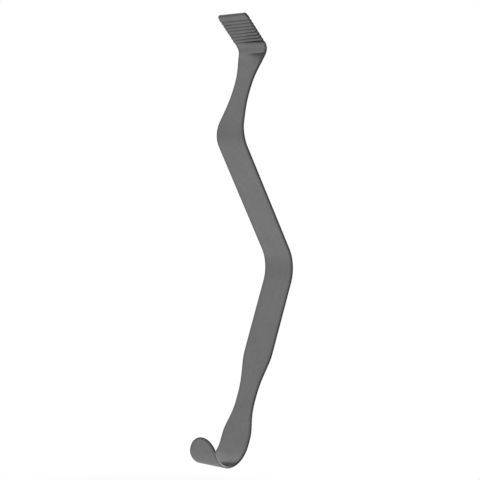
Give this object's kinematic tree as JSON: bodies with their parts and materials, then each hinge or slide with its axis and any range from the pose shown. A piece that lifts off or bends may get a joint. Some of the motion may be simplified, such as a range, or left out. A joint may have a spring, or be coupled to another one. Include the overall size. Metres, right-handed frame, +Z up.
{
  "type": "aorta retractor",
  "caption": "Aorta retractor bent from a flat steel strip, with a cross-grooved grip, narrowed waists and a hooked blade with a rounded tip.",
  "frame": {"origin": "middle of the grip's length, width and thickness, where a hand or a holder takes the retractor", "axes": "+Z up the retractor, from the hook to the grip; +X across the strip, to the right seen from the front; the hook opens upwards and curls towards -Y, the front"},
  "size_m": [0.0208, 0.0644, 0.2538],
  "materials": {
    "satin_steel": "satin, bead-blasted stainless steel"
  },
  "bodies": {
    "root": {"retractor": "satin_steel"}
  },
  "joints": []
}
